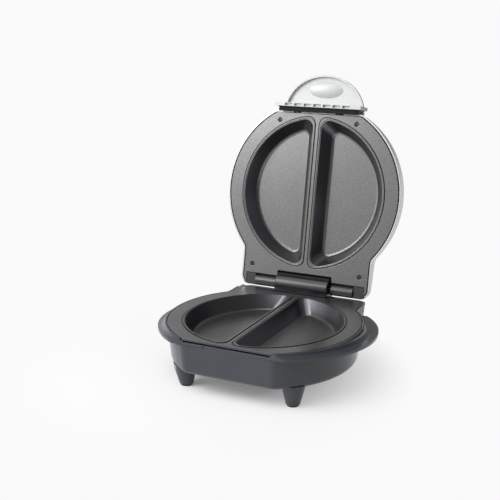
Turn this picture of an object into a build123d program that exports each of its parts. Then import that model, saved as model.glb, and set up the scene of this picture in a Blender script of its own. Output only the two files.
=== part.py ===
from build123d import *
import math
import os

# Electric omelette maker with a hinged lid. Millimetres, +Z up, front towards -Y.
# Everything is drawn about the middle of the cooking circle, with the feet on z = 0 and
# the lid closed. The lid and latch are then swung open, and the whole is moved so that
# the origin lies on the floor under the middle of the open appliance.

# ---------------------------------------------------------------- driving dimensions
origin_behind_circle = 38.0

# outline shared by the housing, plates and lid
plan_radius = 100.0
front_flat = 87.4             # circle centre to the flat front
rear_half_width = 74.55
rear_edge = 107.84
front_corner = 8.0
rear_corner = 7.0
waist_corner = 10.0

# heights
face_height = 60.8            # top face of the lower cooking plate
closed_gap = 1.3              # between the two plates' faces when shut
floor_height = 21.0           # underside of the housing

# fits and clearances
running_clearance = 0.05      # turning pins, spigots and tapped holes
tight_clearance = 0.02        # pins held in their holes
hole_clearance = 0.2          # through holes for screw shanks
head_clearance = 0.3          # round screw heads and covers in their recesses

# cooking plates
flange_thickness = 2.5
flange_rear = 97.0            # the flange stops here, ahead of the hinge barrels
pan_radius = 82.0
divider_width = 10.0
pan_corner = 9.0
pan_depth = 15.5
pan_wall = 2.2
pan_slope_run = 9.0
pan_floor_corner = 8.0
pan_floor_fillet = 4.0
bead_gap = 1.0
bead_width = 1.3
bead_height = 0.45
bead_groove_width, bead_groove_depth = 0.9, 0.6

# base housing
housing_overhang = 0.5        # housing wall outside the plate's outline
housing_wall = 2.6
housing_draft = 6.0
housing_corner = 15.0
housing_rear_corner = 12.0
housing_bottom_fillet = 7.0
collar_gap = 0.9              # groove round the plate's edge
collar_thickness = 1.2
collar_end_back = 1.5         # collar starts this far behind the flat front
deck_front = 90.0             # the solid deck under the hinge starts here
deck_thickness = 3.4
catch_slot_height = 1.8
catch_slot_side_gap = 1.5

# side wings
wing_reach = 14.5             # beyond the outline's circle
wing_centre_back = 9.0
wing_below_face = 8.3
wing_tilt = 2.92
wing_thickness = 3.0
wing_cove = 5.5
wing_front_corner = 13.0

# legs and pads
leg_front_x, leg_front_y = 60.2, 61.0
leg_rear_x, leg_rear_y = 60.2, 86.0
leg_top_radius = 12.4
leg_bottom_radius = 7.3
leg_lean = 1.0                # the foot stands this far inside the leg's top
leg_wall = 2.4
pad_height = 2.0
pad_radius = 6.0
pad_edge = 0.5
pad_spigot_radius = 3.0
pad_spigot_height = 3.0

# bottom cover
cover_plate_radius = 68.0
cover_plate_thickness = 1.6
cover_plate_lap = 8.0
vent_count = 16
vent_inner, vent_outer, vent_width = 30.0, 48.0, 3.0

# hinge
hinge_inset = 2.34            # ahead of the rear edge
hinge_above_face = 5.6
open_angle = 100.84
hinge_pin_radius = 2.0
block_half_width = 31.7
block_radius = 13.5
block_edge = 1.2
block_swing_gap = 1.2
block_side_gap = 1.0
block_screw_inset = 11.7
block_screw_ahead = 5.5       # of the hinge's axis
barrel_radius = 7.0
barrel_gap = 1.2              # between the block and each barrel
barrel_length = 26.1
barrel_end_gap = 0.5          # beside each barrel in the frame
barrel_front_gap = 0.8        # between the plate and the frame beside each barrel
swing_gap = 0.9               # between the turning lid and the deck

# lid
cover_grow = 2.8
cover_front_grow = 1.9
cover_wall = 1.6
cover_draft = 6.0
cover_crown = 33.5
cover_dome_radius = 420.0
cover_edge_fillet = 6.5
frame_grow = 1.3
frame_front_grow = 0.2
frame_thickness = 2.2
frame_recess = 1.4            # its rim lies this far behind the plate's face
frame_fit = 0.15              # between the frame and the cover's wall
frame_opening_gap = 1.8       # round the pans
frame_pocket_side = 3.05
frame_pocket_ceiling = 8.0
hood_wall = 1.8
plate_edge_gap = 0.3

# screws: head radius, head height, shank radius, shank length
plate_screw = (2.7, 1.5, 1.4, 9.0)
small_screw = (2.6, 1.4, 1.25, 6.0)
thermostat_screw = (2.6, 1.4, 1.25, 2.6)
fuse_screw = (2.6, 1.4, 1.25, 4.2)
hook_screw = (1.7, 0.8, 0.9, 2.0)
boss_radius = 4.0
small_boss_radius = 3.5
front_screw_x, front_screw_back = 45.5, 8.85
rear_screw_side, rear_screw_ahead = 9.75, 10.1
plate_boss_drop = 12.0        # the lower plate's bosses reach this far below its face
plate_screw_seat = 4.0        # thickness between a boss and its screw's head
base_screw_x, base_screw_y = 74.2, 39.4
lid_screw_x, lid_screw_y = 80.0, 41.0
lid_boss_height = 12.5

# heating
element_radius = 3.0
element_ring = 52.0
element_leg_x = 14.0
element_leg_end = 80.0
element_bend = 9.0
rib_height = 2.0
rib_half_width = 6.0
bush_radius, bush_length = 2.4, 4.0
terminal_pin_radius, terminal_pin_length = 1.0, 5.0
clamp_angles = (0, 180, 240, 300)
clamp_screw_circle = 40.0
clamp_width, clamp_thickness = 9.0, 0.6
clamp_overhang = 3.0
shield_gap = 0.4              # below the heads of the clamp screws
shield_thickness = 0.6
shield_radius = 60.0
shield_boss_y = 30.0

# thermostat and thermal fuse
thermostat_x = 26.0
thermostat_cap_radius, thermostat_cap_height = 6.0, 2.4
thermostat_body_radius, thermostat_body_height = 8.0, 7.0
thermostat_window_gap = 1.5
tab_half_width, tab_half_thickness, tab_length, tab_y = 2.0, 0.4, 2.5, 4.0
bracket_thickness = 0.8
bracket_half_width, bracket_half_length = 4.0, 15.0
thermostat_screw_y = 12.0
fuse_x, fuse_radius, fuse_length = -27.0, 2.0, 16.0
fuse_lead_radius, fuse_lead_length = 0.5, 5.0
fuse_screw_beside = 7.0
fuse_clip_half_width = 3.0

# terminal block
terminal_x, terminal_y = -30.0, 78.0
terminal_lift = 4.0
terminal_half_length, terminal_half_width, terminal_height = 12.0, 6.0, 10.0
terminal_hole_x, terminal_hole_radius, terminal_hole_depth = 8.0, 1.8, 5.0
terminal_seat = 3.0

# latch
pivot_ahead = 3.75            # of the flat front
pivot_above_lid_face = 11.0
latch_pin_radius = 1.25
latch_pin_half_length = 45.0
lug_x, lug_width, lug_radius = 25.0, 8.0, 2.6
lug_depth = 4.0
ear_width = 4.0
strip_ahead = 10.6
strip_half_width = 50.6
strip_thickness = 4.0
strip_drop = 6.5              # below the lid's face
strip_edge = 1.0
pocket_count, pocket_pitch = 7, 11.35
pocket_width, pocket_depth, pocket_thickness = 8.9, 3.0, 2.7
paddle_half_width = 47.5
paddle_length = 41.5
paddle_ahead = 2.6            # its oval's centre, of the flat front
paddle_root_ahead = 1.8
paddle_rim = 13.2             # rim's edge above the lid's face
paddle_top = 19.0
paddle_wall = 2.0
paddle_edge_fillet = 3.0
thumb_ahead = 27.6
thumb_half_width, thumb_half_length, thumb_depth = 20.5, 9.0, 2.4
hook_thickness = 1.2
hook_half_width = 45.5
hook_top = 5.0
hook_screw_x = (-34.0, 0.0, 34.0)
lip_reach = 5.6
lip_thickness = 0.9
lip_lift = 0.8                # above the strip's lower edge

# cord inlet
gland_x = -48.0
gland_above_floor = 19.0
gland_radius, gland_bore = 5.2, 3.4
gland_flange_radius, gland_flange, gland_edge = 7.4, 2.2, 0.8
gland_length = 11.0
gland_seat_proud = 1.05       # the flat boss stands this far out of the wall
gland_seat_depth = 6.0
gland_snap, gland_snap_length = 0.9, 1.6

# lamps
lamp_x, lamp_y, lamp_radius = 5.5, 69.0, 2.5
lens_proud, lens_edge = 1.0, 1.0
lens_collar, lens_collar_height, lens_stem = 0.8, 1.2, 2.4
holder_side, holder_half_length, holder_wall = 2.4, 7.0, 1.0
holder_above_pan = 1.3
neon_radius, neon_length = 1.0, 9.0

# ---------------------------------------------------------------- derived places
lid_face = face_height + closed_gap
seat_height = face_height - flange_thickness
floor_top = floor_height + housing_wall
floor_middle = floor_height + housing_wall / 2
deck_low = seat_height - deck_thickness
wing_height = face_height - wing_below_face
hinge_y = rear_edge - hinge_inset
hinge_z = face_height + hinge_above_face
notch_front = hinge_y - block_radius - block_swing_gap
barrel_inner_x = block_half_width + barrel_gap
barrel_outer_x = barrel_inner_x + barrel_length
swing_relief_radius = hinge_z - seat_height - swing_gap
hinge_pocket_half_width = rear_half_width - frame_pocket_side
ledge_low = lid_face + flange_thickness
ledge_high = ledge_low + frame_thickness
boss_top = face_height - plate_boss_drop
boss_seat = boss_top - plate_screw_seat
gland_z = floor_height + gland_above_floor
gland_lean = (face_height - gland_z) * math.tan(math.radians(housing_draft))
gland_seat_y = rear_edge + housing_overhang - gland_lean + gland_seat_proud
pivot_y = -front_flat - pivot_ahead
pivot_z = lid_face + pivot_above_lid_face
strip_outer_y = -front_flat - strip_ahead
strip_inner_y = strip_outer_y + strip_thickness
hook_inner_y = strip_inner_y + hook_thickness
strip_low = lid_face - strip_drop
far = 400.0                   # larger than the appliance, for cutting blocks

# below a plate's face at z = 0
pan_under = -(pan_depth + pan_wall)
element_z = pan_under - element_radius - running_clearance
clamp_top = element_z - element_radius - running_clearance
clamp_low = clamp_top - clamp_thickness
shield_top = clamp_low - small_screw[1] - shield_gap
shield_low = shield_top - shield_thickness
cap_low = pan_under - running_clearance - thermostat_cap_height
bracket_low = pan_under - thermostat_cap_height
bracket_top = bracket_low + bracket_thickness
fuse_bottom = pan_under - 2 * fuse_radius - 2 * running_clearance
fuse_clip_low = fuse_bottom - clamp_thickness
fuse_screw_x = fuse_x + fuse_screw_beside


# ---------------------------------------------------------------- shared shapes
def slab(x_low, x_high, y_low, y_high, z_low, z_high):
    """A box given by its limits."""
    size = (x_high - x_low, y_high - y_low, z_high - z_low)
    centre = ((x_low + x_high) / 2, (y_low + y_high) / 2, (z_low + z_high) / 2)
    return Pos(*centre) * Box(*size)


def middle_slab(x, half_x, y, half_y, z_low, z_high):
    """A box centred on x and y."""
    return slab(x - half_x, x + half_x, y - half_y, y + half_y, z_low, z_high)


def post(x, y, z_low, z_high, radius):
    """An upright cylinder from one height to another."""
    return Pos(x, y, (z_low + z_high) / 2) * Cylinder(radius, z_high - z_low)


def cross_rod(half_length, y, z, radius):
    """A cylinder along X, centred on the symmetry plane."""
    return Pos(0, y, z) * Rot(0, 90, 0) * Cylinder(radius, 2 * half_length)


def depth_rod(x, y_low, y_high, z, radius):
    """A cylinder along Y."""
    return Pos(x, (y_low + y_high) / 2, z) * Rot(90, 0, 0) * Cylinder(radius, y_high - y_low)


def both_sides(shape):
    """The shape and its mirror image across the symmetry plane."""
    return [shape, mirror(shape, about=Plane.YZ)]


def join(shapes):
    """One shape from a list of them."""
    total = shapes[0]
    for shape in shapes[1:]:
        total += shape
    return total


def four_spots(x, y):
    """Points at the corners of a rectangle about the centre."""
    return [(side * x, end * y) for side in (-1, 1) for end in (-1, 1)]


def tapered(outline, z_start, height, draft):
    """The outline drawn at z_start and extruded by the height, narrowing as it goes."""
    direction = (0, 0, 1 if height > 0 else -1)
    return extrude(Pos(0, 0, z_start) * outline, amount=abs(height), dir=direction, taper=draft)


def plan(grow, front_grow, front_radius, rear_radius=rear_corner):
    """The outline seen from above: a circle with a flat front and a rectangular rear."""
    front_y = -front_flat - front_grow
    rear_y = rear_edge + grow
    circle = Circle(plan_radius + grow)
    rear = Pos(0, rear_y / 2) * Rectangle(2 * (rear_half_width + grow), rear_y)
    keep = Pos(0, front_y + far / 2) * Rectangle(far, far)
    outline = (circle + rear) & keep
    waist_y = math.sqrt((plan_radius + grow) ** 2 - (rear_half_width + grow) ** 2)
    for corner_y, radius in ((waist_y, waist_corner), (rear_y, rear_radius), (front_y, front_radius)):
        corners = outline.vertices().filter_by(lambda v: abs(v.Y - corner_y) < 0.01)
        outline = fillet(corners, radius)
    return outline


def half_moon(grow, corner):
    """The outline of the right-hand pan: a disc cut off beside the divider."""
    start_x = divider_width / 2 - grow
    keep = Pos(start_x + far / 2, 0) * Rectangle(far, far)
    outline = Circle(pan_radius + grow) & keep
    corners = outline.vertices().filter_by(lambda v: abs(v.X - start_x) < 0.01)
    return fillet(corners, corner)


def pan_body(grow, floor_grow, depth):
    """A pan-shaped solid that narrows downwards from the face at z = 0."""
    top = half_moon(grow, pan_corner)
    bottom = half_moon(floor_grow, pan_floor_corner)
    return loft([top.face(), (Pos(0, 0, -depth) * bottom).face()], ruled=True)


def screw_form(size, flush):
    """A screw that points up, its head starting at z = 0: rounded, or conical if flush."""
    head_radius, head_height, shank_radius, shank_length = size
    tip = head_height + shank_length
    shank = post(0, 0, head_height, tip, shank_radius)
    if flush:
        return shank + Pos(0, 0, head_height / 2) * Cone(head_radius, shank_radius, head_height)
    whole = shank + post(0, 0, 0, head_height, head_radius)
    return fillet(whole.edges().sort_by(Axis.Z)[0], head_height / 3)


def screws_under(size, spots, z):
    """Round-headed screws that hold something up from below, heads against z."""
    return [Pos(x, y, z - size[1]) * screw_form(size, False) for x, y in spots]


def flush_screws(size, spots, z):
    """Countersunk screws that point up, heads flush with z."""
    return [Pos(x, y, z) * screw_form(size, True) for x, y in spots]


def countersink(size):
    """The seat and tapped hole for a countersunk screw that points up from z = 0."""
    head_radius, head_height, shank_radius, shank_length = size
    gap = running_clearance
    seat = Pos(0, 0, head_height / 2) * Cone(head_radius + gap, shank_radius + gap, head_height)
    return seat + post(0, 0, 0, head_height + shank_length, shank_radius + gap)


def tapped(size):
    """The radius of a hole that a screw of this size bites into."""
    return size[2] + running_clearance


def clear(size):
    """The radius of a hole that a screw of this size passes through."""
    return size[2] + hole_clearance


# ---------------------------------------------------------------- heating kit, below a face at z = 0
shield_spots = [(0, -shield_boss_y), (0, shield_boss_y)]
clamp_spots = [(clamp_screw_circle * math.cos(math.radians(angle)),
                clamp_screw_circle * math.sin(math.radians(angle))) for angle in clamp_angles]


def element_path():
    """A horseshoe round the plate with two legs towards the rear."""
    bend_x = element_leg_x + element_bend
    bend_y = math.sqrt((element_ring + element_bend) ** 2 - bend_x**2)
    share = element_ring / (element_ring + element_bend)
    joint_x, joint_y = bend_x * share, bend_y * share
    middle = Vector(joint_x - bend_x, joint_y - bend_y) + Vector(-element_bend, 0)
    middle = Vector(bend_x, bend_y) + middle.normalized() * element_bend
    leg = Line((element_leg_x, element_leg_end), (element_leg_x, bend_y))
    bend = ThreePointArc(leg @ 1, (middle.X, middle.Y), (joint_x, joint_y))
    ring = ThreePointArc((joint_x, joint_y), (0, -element_ring), (-joint_x, joint_y))
    other_bend = ThreePointArc((-joint_x, joint_y), (-middle.X, middle.Y), (-element_leg_x, bend_y))
    other_leg = Line(other_bend @ 1, (-element_leg_x, element_leg_end))
    return Pos(0, 0, element_z) * Wire([leg, bend, ring, other_bend, other_leg])


def element_tube(radius):
    """The element's round tube, or the groove that it lies in."""
    path = element_path()
    start = Plane(origin=path @ 0, z_dir=path % 0)
    return sweep(start * Circle(radius), path=path)


def element_terminals():
    """A ceramic bush and a connection pin on each end of the element."""
    bush_end = element_leg_end + bush_length
    bush = depth_rod(element_leg_x, element_leg_end, bush_end, element_z, bush_radius)
    pin_end = bush_end + terminal_pin_length
    pin = depth_rod(element_leg_x, bush_end, pin_end, element_z, terminal_pin_radius)
    return both_sides(bush + pin)


def clamps():
    """Flat springs that press the element into its groove."""
    start = clamp_screw_circle - boss_radius
    reach = element_ring + element_radius + clamp_overhang
    strap = slab(start, reach, -clamp_width / 2, clamp_width / 2, clamp_low, clamp_top)
    strap -= post(clamp_screw_circle, 0, clamp_low, clamp_top, clear(small_screw))
    return [Rot(0, 0, angle) * strap for angle in clamp_angles]


def shield(window):
    """A thin disc that reflects the element's heat, with an optional window cut in it."""
    disc = post(0, 0, shield_low, shield_top, shield_radius)
    for x, y in shield_spots:
        disc -= post(x, y, shield_low, shield_top, clear(small_screw))
    return disc - window if window else disc


def plate_blank():
    """A cooking plate, its face at z = 0 and its pans below, before the fixing details."""
    flange = extrude(plan(0, 0, front_corner), amount=-flange_thickness)
    under = pan_body(pan_wall, pan_wall - pan_slope_run, -pan_under)
    hollow = pan_body(0, -pan_slope_run, pan_depth)
    hollow = fillet(hollow.edges().group_by(Axis.Z)[0], pan_floor_fillet)
    plate = flange + join(both_sides(under))
    ring = Circle(element_ring + rib_half_width) - Circle(element_ring - rib_half_width)
    gap = Pos(0, element_ring) * Rectangle(2 * element_leg_x + boss_radius * 2, 2 * element_ring)
    plate += Pos(0, 0, pan_under) * extrude(ring - gap, amount=-rib_height)
    for x, y in shield_spots:
        plate += post(x, y, shield_top, -flange_thickness, small_boss_radius)
    for x, y in clamp_spots:
        plate += post(x, y, clamp_top, pan_under, small_boss_radius)
    plate -= element_tube(element_radius + running_clearance)
    plate -= join(both_sides(hollow))
    rim = bead_gap + bead_width
    bead = half_moon(rim, pan_corner) - half_moon(bead_gap, pan_corner)
    groove = half_moon(rim + bead_groove_width, pan_corner) - half_moon(rim, pan_corner)
    plate += join(both_sides(extrude(bead, amount=bead_height)))
    plate -= join(both_sides(extrude(groove, amount=-bead_groove_depth)))
    for x, y in shield_spots:
        plate -= post(x, y, shield_low, shield_top + small_screw[3], tapped(small_screw))
    for x, y in clamp_spots:
        plate -= post(x, y, clamp_low, clamp_top + small_screw[3], tapped(small_screw))
    return plate


def trim_hinge_zone(plate):
    """Cuts the flange back ahead of the hinge block and the hinge barrels."""
    plate -= slab(-hinge_pocket_half_width, hinge_pocket_half_width, flange_rear, far, -far, far)
    notch_side = block_half_width + block_side_gap
    return plate - slab(-notch_side, notch_side, notch_front, far, -far, far)


# ---------------------------------------------------------------- base pieces
leg_spots = [(side * leg_front_x, -leg_front_y) for side in (-1, 1)]
leg_spots += [(side * leg_rear_x, leg_rear_y) for side in (-1, 1)]
foot_spots = [(x - math.copysign(leg_lean, x), y - math.copysign(leg_lean, y)) for x, y in leg_spots]
base_screw_spots = four_spots(base_screw_x, base_screw_y)
cover_screw_circle = cover_plate_radius - cover_plate_lap / 2
cover_screw_spots = four_spots(cover_screw_circle * math.cos(math.pi / 6),
                               cover_screw_circle * math.sin(math.pi / 6))
block_screw_x = block_half_width - block_screw_inset
block_screw_spots = [(side * block_screw_x, hinge_y - block_screw_ahead) for side in (-1, 1)]
thermostat_screw_spots = [(thermostat_x, side * thermostat_screw_y) for side in (-1, 1)]


def housing_skin(inset, z_low):
    """The housing's drafted wall as a solid, inset from outside, down to z_low."""
    grow = housing_overhang - inset
    outline = plan(grow, grow, housing_corner - inset, housing_rear_corner - inset)
    return tapered(outline, face_height, z_low - face_height, housing_draft)


def leg_cone(leg, foot, inset, z_low):
    """A leg, or its hollow, leaning in towards the foot."""
    top = Pos(leg[0], leg[1], floor_top) * Circle(leg_top_radius - inset)
    end = Pos(foot[0], foot[1], z_low) * Circle(leg_bottom_radius - inset)
    return loft([end.face(), top.face()])


def wings():
    """The two grips: one tilted plate with a cove that rises to the rim."""
    edge = plan_radius + collar_gap + collar_thickness
    inner = edge - 2 * wing_cove
    outer = plan_radius + 2 * wing_reach
    arc_middle = wing_cove * (1 - math.sqrt(0.5))
    line = Polyline((edge, 2 * wing_cove), (inner, 2 * wing_cove), (inner, -wing_thickness),
                    (outer, -wing_thickness), (outer, 0), (edge + wing_cove, 0))
    cove = ThreePointArc((edge + wing_cove, 0), (edge + arc_middle, arc_middle), (edge, wing_cove))
    close = Line((edge, wing_cove), (edge, 2 * wing_cove))
    profile = Plane.XZ * make_face(Curve() + [line, cove, close])
    ring = Pos(0, 0, wing_height) * Rot(-wing_tilt, 0, 0) * revolve(profile, axis=Axis.Z)
    front_y = -front_flat - housing_overhang
    outline = Pos(0, wing_centre_back) * Circle(plan_radius + wing_reach)
    outline &= Pos(0, (front_y + deck_front) / 2) * Rectangle(far, deck_front - front_y)
    corners = outline.vertices().filter_by(lambda v: abs(v.Y - front_y) < 0.01)
    outline = fillet(corners, wing_front_corner)
    return ring & extrude(outline, amount=face_height)


def collar():
    """The low rim round the sides of the lower plate."""
    grow = collar_gap + collar_thickness
    outline = plan(grow, grow, front_corner + grow)
    rim = Pos(0, 0, wing_height) * extrude(outline, amount=wing_below_face)
    return rim & slab(-far, far, collar_end_back - front_flat, deck_front, 0, far)


def base_housing():
    """The bowl with its wings, collar, hinge deck and four hollow legs."""
    bowl = housing_skin(0, floor_height)
    bowl = fillet(bowl.edges().group_by(Axis.Z)[0], housing_bottom_fillet)
    body = bowl + wings() + collar()
    leg_skin = housing_skin(0, 0)
    for leg, foot in zip(leg_spots, foot_spots):
        body += leg_cone(leg, foot, 0, pad_height) & leg_skin
    inside = housing_skin(housing_wall, pad_height + leg_wall)
    cavity = inside & slab(-far, far, -far, far, floor_top, far)
    body -= cavity - slab(-far, far, deck_front, far, deck_low, far)
    for leg, foot in zip(leg_spots, foot_spots):
        body -= leg_cone(leg, foot, leg_wall, pad_height + leg_wall) & inside
        body -= post(*foot, 0, floor_height, pad_spigot_radius + running_clearance)

    body -= Pos(0, 0, seat_height) * extrude(plan(collar_gap, collar_gap, front_corner), amount=far)
    body -= slab(-far, far, deck_front, far, seat_height, far)
    slot_side = hook_half_width + catch_slot_side_gap
    slot_back = -front_flat + 2 * housing_wall
    body -= slab(-slot_side, slot_side, -far, slot_back, seat_height - catch_slot_height, far)

    for x, y in base_screw_spots:
        body += post(x, y, floor_middle, boss_top, boss_radius + 2 * head_clearance)
        body -= post(x, y, 0, boss_seat, plate_screw[0] + head_clearance)
        body -= post(x, y, 0, far, clear(plate_screw))
    body -= post(0, 0, 0, floor_top, cover_plate_radius - cover_plate_lap)
    cover_top = floor_height + cover_plate_thickness
    body -= post(0, 0, 0, cover_top, cover_plate_radius + head_clearance)
    for x, y in cover_screw_spots:
        tip = cover_top + small_screw[3]
        body += post(x, y, cover_top, tip, boss_radius)
        body -= post(x, y, 0, tip - cover_plate_thickness / 2, tapped(small_screw))
    body += post(terminal_x, terminal_y, floor_middle, floor_top + terminal_lift, boss_radius)
    body -= post(terminal_x, terminal_y, floor_middle, far, tapped(small_screw))
    for x, y in block_screw_spots:
        body -= post(x, y, deck_low, far, clear(plate_screw))
    seat_front = gland_seat_y - gland_seat_depth
    body += depth_rod(gland_x, seat_front, gland_seat_y, gland_z, gland_flange_radius + 1)
    return body - depth_rod(gland_x, deck_front, far, gland_z, gland_radius + running_clearance)


def cord_gland():
    """A moulded bush in the rear wall, with a flange outside and a snap rim inside."""
    outer_y = gland_seat_y + gland_flange
    flange = depth_rod(gland_x, gland_seat_y, outer_y, gland_z, gland_flange_radius)
    flange = fillet(flange.edges().group_by(Axis.Y)[-1], gland_edge)
    sleeve = depth_rod(gland_x, outer_y - gland_length, outer_y, gland_z, gland_radius)
    snap_y = gland_seat_y - gland_seat_depth - running_clearance
    snap = depth_rod(gland_x, snap_y - gland_snap_length, snap_y, gland_z, gland_radius + gland_snap)
    return sleeve + flange + snap - depth_rod(gland_x, 0, far, gland_z, gland_bore)


def foot_pads():
    """Rubber pads plugged into the ends of the legs."""
    pads = []
    for x, y in foot_spots:
        disc = post(x, y, 0, pad_height, pad_radius)
        disc = fillet(disc.edges().group_by(Axis.Z)[0], pad_edge)
        pads.append(disc + post(x, y, pad_height, pad_height + pad_spigot_height, pad_spigot_radius))
    return pads


def bottom_cover():
    """A disc with radial vents that closes the housing from below."""
    plate = post(0, 0, floor_height, floor_height + cover_plate_thickness, cover_plate_radius)
    for x, y in cover_screw_spots:
        plate -= post(x, y, 0, far, clear(small_screw))
    slot = SlotCenterToCenter(vent_outer - vent_inner, vent_width)
    for index in range(vent_count):
        turn = Rot(0, 0, 360 * (index + 0.5) / vent_count)
        place = turn * Pos((vent_inner + vent_outer) / 2, 0, floor_height)
        plate -= place * extrude(slot, amount=cover_plate_thickness)
    return plate


def lower_cooking_plate():
    """The plate blank on its housing, with bosses below for its screws and the thermostat."""
    plate = plate_blank()
    for x, y in base_screw_spots:
        plate += post(x, y, -plate_boss_drop, -flange_thickness, boss_radius)
        tip = plate_screw[3] - plate_screw_seat - plate_boss_drop
        plate -= post(x, y, -plate_boss_drop, tip, tapped(plate_screw))
    for x, y in thermostat_screw_spots:
        plate += post(x, y, bracket_top, pan_under, small_boss_radius)
        plate -= post(x, y, bracket_low, bracket_low + thermostat_screw[3], tapped(thermostat_screw))
    plate += post(fuse_screw_x, 0, fuse_bottom, pan_under, small_boss_radius)
    plate -= post(fuse_screw_x, 0, fuse_clip_low, fuse_clip_low + fuse_screw[3], tapped(fuse_screw))
    plate -= slab(-far, far, hinge_y - swing_relief_radius, far, -far, far)
    return trim_hinge_zone(plate)


def thermostat():
    """A disc thermostat whose cap bears on the right-hand pan."""
    cap_top = cap_low + thermostat_cap_height
    body_low = cap_low - thermostat_body_height
    switch = post(thermostat_x, 0, cap_low, cap_top, thermostat_cap_radius)
    switch += post(thermostat_x, 0, body_low, cap_low, thermostat_body_radius)
    for y in (-tab_y, tab_y):
        tab_low = body_low - tab_length
        switch += middle_slab(thermostat_x, tab_half_width, y, tab_half_thickness, tab_low, body_low)
    return switch


def thermostat_bracket():
    """A strap that holds the thermostat's cap, screwed to the pan."""
    strap = middle_slab(thermostat_x, bracket_half_width, 0, bracket_half_length, bracket_low, bracket_top)
    strap += post(thermostat_x, 0, bracket_low, bracket_top, thermostat_body_radius)
    strap -= post(thermostat_x, 0, bracket_low, bracket_top, thermostat_cap_radius + running_clearance)
    for x, y in thermostat_screw_spots:
        strap -= post(x, y, bracket_low, bracket_top, clear(thermostat_screw))
    return strap


def thermal_fuse():
    """A cylindrical cut-out lying against the left-hand pan."""
    z = pan_under - running_clearance - fuse_radius
    end = fuse_length / 2
    lead_end = end + fuse_lead_length
    return (depth_rod(fuse_x, -end, end, z, fuse_radius)
            + depth_rod(fuse_x, -lead_end, lead_end, z, fuse_lead_radius))


def thermal_fuse_clip():
    """A flat strap under the fuse, screwed to the boss beside it."""
    strap = slab(fuse_x - fuse_radius, fuse_screw_x + small_boss_radius,
                 -fuse_clip_half_width, fuse_clip_half_width, fuse_clip_low, fuse_bottom)
    return strap - post(fuse_screw_x, 0, fuse_clip_low, fuse_bottom, clear(fuse_screw))


def terminal_block():
    """A connector on the housing floor."""
    low = floor_top + terminal_lift
    high = low + terminal_height
    body = middle_slab(terminal_x, terminal_half_length, terminal_y, terminal_half_width, low, high)
    for x in (terminal_x - terminal_hole_x, terminal_x + terminal_hole_x):
        body -= post(x, terminal_y, high - terminal_hole_depth, high, terminal_hole_radius)
    body -= post(terminal_x, terminal_y, low, high, clear(small_screw))
    return body - post(terminal_x, terminal_y, low + terminal_seat, high, small_screw[0] + hole_clearance)


def terminal_block_screw():
    """The screw that holds the connector down."""
    head_top = floor_top + terminal_lift + terminal_seat + small_screw[1]
    return Pos(terminal_x, terminal_y, head_top) * Rot(180, 0, 0) * screw_form(small_screw, False)


def hinge_block():
    """The rounded knuckle that stands on the housing and holds the hinge pin."""
    front = hinge_y - block_radius
    block = cross_rod(block_half_width, hinge_y, hinge_z, block_radius)
    block += slab(-block_half_width, block_half_width, front, rear_edge, seat_height, hinge_z)
    block -= slab(-far, far, -far, far, 0, seat_height)
    ends = block.edges().filter_by(lambda e: abs(abs(e.center().X) - block_half_width) < 0.01)
    block = fillet(ends.filter_by(lambda e: e.center().Z > hinge_z + 1), block_edge)
    for x, y in block_screw_spots:
        block -= post(x, y, seat_height, seat_height + plate_screw[3], tapped(plate_screw))
    return block - cross_rod(far, hinge_y, hinge_z, hinge_pin_radius + tight_clearance)


def hinge_pin():
    """The pin that both barrels turn on."""
    return cross_rod(barrel_outer_x, hinge_y, hinge_z, hinge_pin_radius)


# ---------------------------------------------------------------- lid pieces, drawn shut
lid_screw_spots = four_spots(lid_screw_x, lid_screw_y)
upper_screw_spots = [(side * front_screw_x, front_screw_back - front_flat) for side in (-1, 1)]
upper_screw_spots += [(side * (rear_half_width - rear_screw_side), flange_rear - rear_screw_ahead)
                      for side in (-1, 1)]


def swing_relief():
    """What the lid's rear lower edge loses so that it can turn past the deck."""
    quarter = slab(-far, far, hinge_y, far, 0, hinge_z)
    return quarter - cross_rod(far, hinge_y, hinge_z, swing_relief_radius)


def block_notch(inset):
    """The space round the hinge block, or a thicker one for the hood about it."""
    side = block_half_width + block_side_gap + inset
    space = cross_rod(side, hinge_y, hinge_z, block_radius + block_swing_gap + inset)
    return space + slab(-side, side, notch_front - inset, far, 0, hinge_z)


def cover_form(inset):
    """The lid's domed shape, inset from outside."""
    grow = cover_grow - inset
    outline = plan(grow, cover_front_grow - inset, front_corner + grow, rear_corner + grow)
    block = tapered(outline, lid_face, cover_crown, cover_draft)
    dome = Sphere(cover_dome_radius - inset)
    block &= Pos(0, 0, lid_face + cover_crown - cover_dome_radius) * dome
    middle = lid_face + cover_crown / 4
    upper = block.edges().filter_by(lambda e: e.bounding_box().min.Z > middle)
    return fillet(upper, cover_edge_fillet - inset)


def lid_cover():
    """The outer shell of the lid."""
    outer = cover_form(0)
    shell = outer - cover_form(cover_wall)
    for x, y in lid_screw_spots:
        shell += post(x, y, ledge_high, lid_face + cover_crown, small_boss_radius) & outer
        shell -= post(x, y, ledge_high, ledge_high + plate_screw[3], tapped(plate_screw))
    shell -= slab(-far, far, rear_edge, far, 0, ledge_high)
    shell -= block_notch(0)
    shell -= swing_relief()
    lug_gap = lug_width / 2 + 2 * hole_clearance
    lug_top = pivot_z + lug_radius + 3 * hole_clearance
    for x in (-lug_x, lug_x):
        shell -= slab(x - lug_gap, x + lug_gap, -far, lug_depth - front_flat, 0, lug_top)
    for x in (-lamp_x, lamp_x):
        shell -= post(x, lamp_y, ledge_high, far, lamp_radius + running_clearance)
    return shell


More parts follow.
